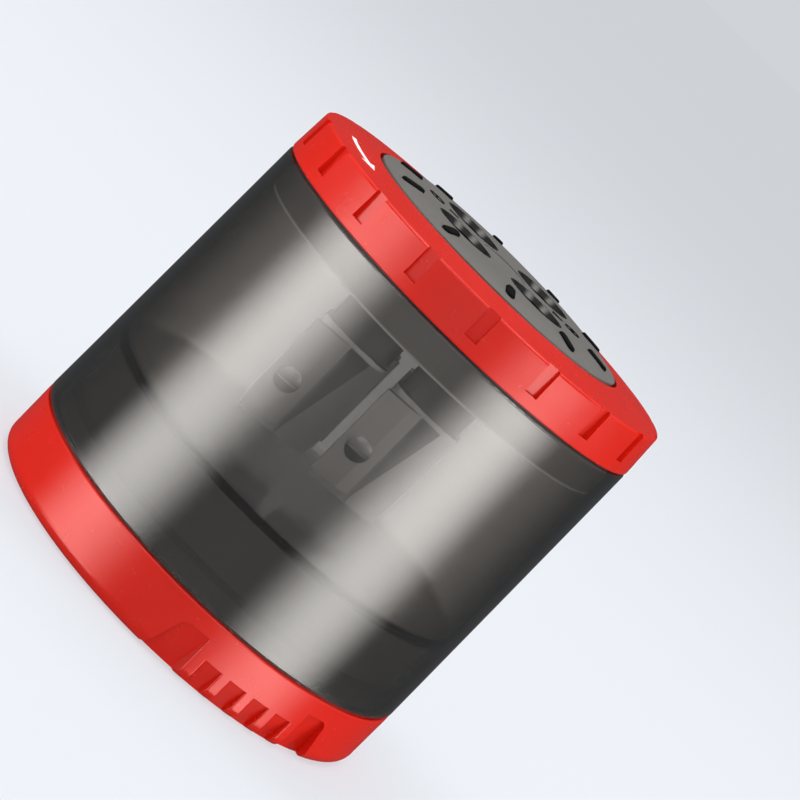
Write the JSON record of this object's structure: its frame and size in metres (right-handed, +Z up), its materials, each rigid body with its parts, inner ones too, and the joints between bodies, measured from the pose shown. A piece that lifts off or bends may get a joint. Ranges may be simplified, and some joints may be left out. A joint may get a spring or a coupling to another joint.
{
  "type": "pencil sharpener",
  "caption": "Round tub pencil sharpener: red base and notched cap, smoked shavings tub, turning grey dial over funnel pencil holes, each with its own blade block.",
  "frame": {"origin": "middle of the standing ring, on the table", "axes": "+Z up along the tub's axis; the side seen in the picture faces -Y, so +X is to the viewer's right"},
  "size_m": [0.075, 0.075, 0.0748],
  "materials": {
    "red_plastic": "satin moulded plastic",
    "smoked_plastic": "clear smoked plastic, polished",
    "black_plastic": "fine-textured moulded plastic",
    "grey_plastic": "satin moulded plastic",
    "black_rubber": "soft matt rubber",
    "cover_plastic": "satin moulded plastic",
    "block_metal": "die-cast light alloy, satin",
    "blade_steel": "ground steel",
    "screw_steel": "plain steel"
  },
  "bodies": {
    "base": {"base_shell": "red_plastic", "base_liner": "black_plastic", "base_screws": "screw_steel"},
    "tub": {"container": "smoked_plastic"},
    "cap": {"cap_shell": "red_plastic", "carrier": "black_plastic", "carrier_screws": "screw_steel", "sharpener_block_front_left": "block_metal", "blade_front_left": "blade_steel", "blade_screw_front_left": "screw_steel", "sharpener_block_front_right": "block_metal", "blade_front_right": "blade_steel", "blade_screw_front_right": "screw_steel", "sharpener_block_back_left": "block_metal", "blade_back_left": "blade_steel", "blade_screw_back_left": "screw_steel", "sharpener_block_back_right": "block_metal", "blade_back_right": "blade_steel", "blade_screw_back_right": "screw_steel", "pivot_washer": "screw_steel", "pivot_screw": "screw_steel"},
    "dial": {"dial": "grey_plastic", "hole_bushes": "black_plastic", "grip_bars": "black_rubber", "pivot_cap": "cover_plastic"}
  },
  "joints": [
    {"name": "tub_lift", "type": "slide", "parent": "base", "child": "tub", "axis": [0, 0, 1], "range_m": [0, 0.04]},
    {"name": "cap_lift", "type": "slide", "parent": "tub", "child": "cap", "axis": [0, 0, 1], "range_m": [0, 0.045]},
    {"name": "dial_turn", "type": "hinge", "parent": "cap", "child": "dial", "pos_m": [0, 0, 0.0715], "axis": [0, 0, 1], "range_deg": [0, 45]}
  ]
}
